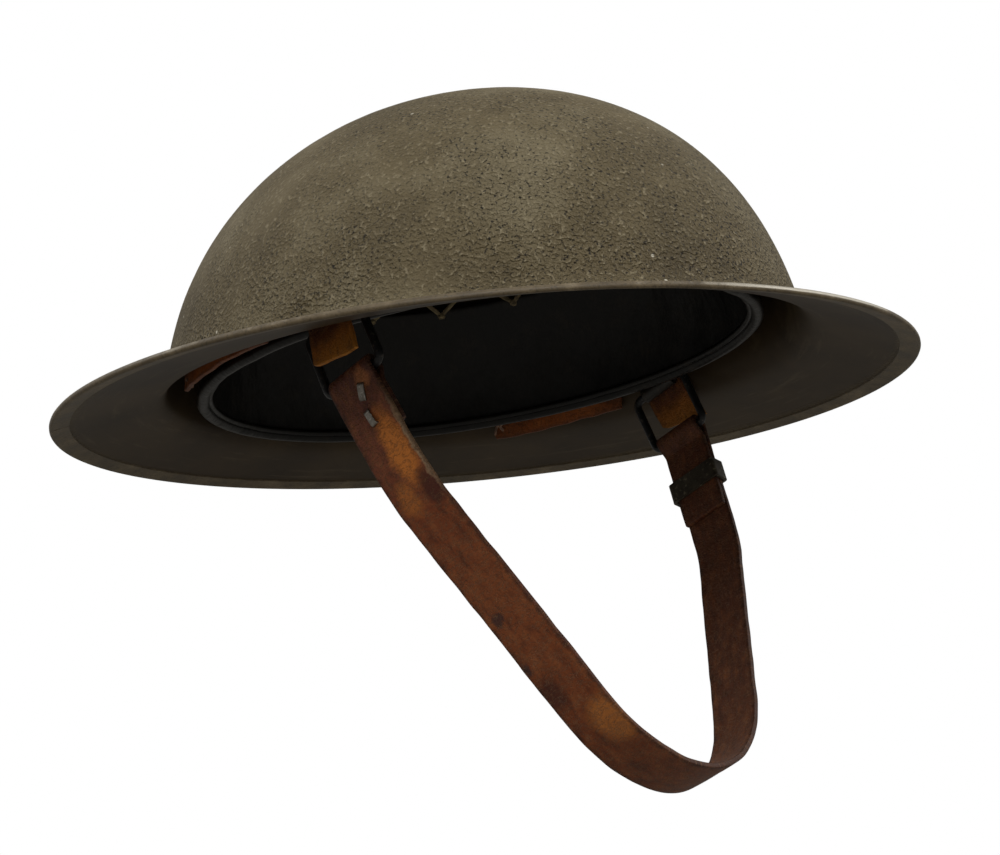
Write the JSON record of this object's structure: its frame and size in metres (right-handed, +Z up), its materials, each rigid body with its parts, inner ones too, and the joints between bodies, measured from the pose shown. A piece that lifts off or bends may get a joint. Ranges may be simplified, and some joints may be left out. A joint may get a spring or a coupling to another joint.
{
  "type": "steel helmet",
  "caption": "Wide-brimmed pressed steel helmet with a bound rim, an oilcloth and net lining on rubber cushions, and a leather chin strap on wire bails.",
  "frame": {"origin": "head seat: on the bowl's axis, level with the edge of the brim", "axes": "+Z up along the bowl's axis, -Y where the wearer looks, -X the wearer's right"},
  "size_m": [0.2974, 0.3112, 0.2569],
  "materials": {
    "shell_paint": "matt olive-brown paint with fine sand in it",
    "rim_paint": "satin olive-brown paint, worn along its edge",
    "rivet_paint": "matt olive-brown paint over a steel rivet",
    "lining_steel": "dull steel",
    "felt": "grey-brown wool felt",
    "cotton_tape": "khaki cotton tape",
    "oilcloth": "black oiled cloth, glossy along its rolled edge",
    "net_twine": "knotted cotton twine",
    "drawstring_twine": "twisted cotton cord",
    "rubber": "aged rubber tube",
    "rear_leather": "tan leather, darkened by sweat",
    "tab_leather": "orange-tan leather",
    "lug_steel": "dark paint on folded steel strip",
    "bail_steel": "blackened steel wire",
    "strap_leather": "dark mahogany leather, worn to tan",
    "staple_wire": "bright steel wire",
    "slide_steel": "dull painted sheet steel"
  },
  "bodies": {
    "helmet": {"shell": "shell_paint", "rim": "rim_paint", "crown_rivet": "rivet_paint", "crown_washer": "lining_steel", "crown_pad": "felt", "cradle_tapes": "cotton_tape", "headband": "oilcloth", "crown_net": "net_twine", "drawstring": "drawstring_twine", "rubber_cushions": "rubber", "rear_strap": "rear_leather", "right_hanger_washer": "lining_steel", "left_hanger_washer": "lining_steel", "right_hanger_rivet": "rivet_paint", "left_hanger_rivet": "rivet_paint"},
    "right_hanger": {"right_lug": "lug_steel", "right_hanger_tab": "tab_leather"},
    "left_hanger": {"left_lug": "lug_steel", "left_hanger_tab": "tab_leather"},
    "right_wire": {"right_bail": "bail_steel"},
    "left_wire": {"left_bail": "bail_steel"},
    "strap": {"chin_strap": "strap_leather", "fold_staples": "staple_wire"},
    "slide": {"strap_slide": "slide_steel"}
  },
  "joints": [
    {"name": "right_hanger_swivel", "type": "hinge", "parent": "helmet", "child": "right_hanger", "pos_m": [-0.0968, -0.0115, 0.021], "axis": [1, 0, 0], "range_deg": [-14, 32]},
    {"name": "left_hanger_swivel", "type": "hinge", "parent": "helmet", "child": "left_hanger", "pos_m": [0.0968, -0.0115, 0.021], "axis": [1, 0, 0], "range_deg": [-14, 32]},
    {"name": "right_bail_hinge", "type": "hinge", "parent": "right_hanger", "child": "right_wire", "pos_m": [-0.09266, -0.01467, 0.01152], "axis": [0, -0.9483, 0.3173], "range_deg": [-14, 14]},
    {"name": "left_bail_hinge", "type": "hinge", "parent": "left_hanger", "child": "left_wire", "pos_m": [0.09266, -0.01467, 0.01152], "axis": [0, -0.9483, 0.3173], "range_deg": [-14, 14]},
    {"name": "strap_pivot", "type": "hinge", "parent": "right_wire", "child": "strap", "pos_m": [-0.09266, -0.02165, -0.00935], "axis": [0, -0.9483, 0.3173], "range_deg": [-14, 14]},
    {"name": "slide_run", "type": "slide", "parent": "strap", "child": "slide", "axis": [-0.2588, -0.3065, -0.916], "range_m": [-0.004, 0.01]}
  ],
  "couplings": [
    {"joint": "left_hanger_swivel", "follows": "right_hanger_swivel", "ratio": 1},
    {"joint": "left_bail_hinge", "follows": "right_bail_hinge", "ratio": 1},
    {"joint": "strap_pivot", "follows": "right_bail_hinge", "ratio": -1}
  ]
}
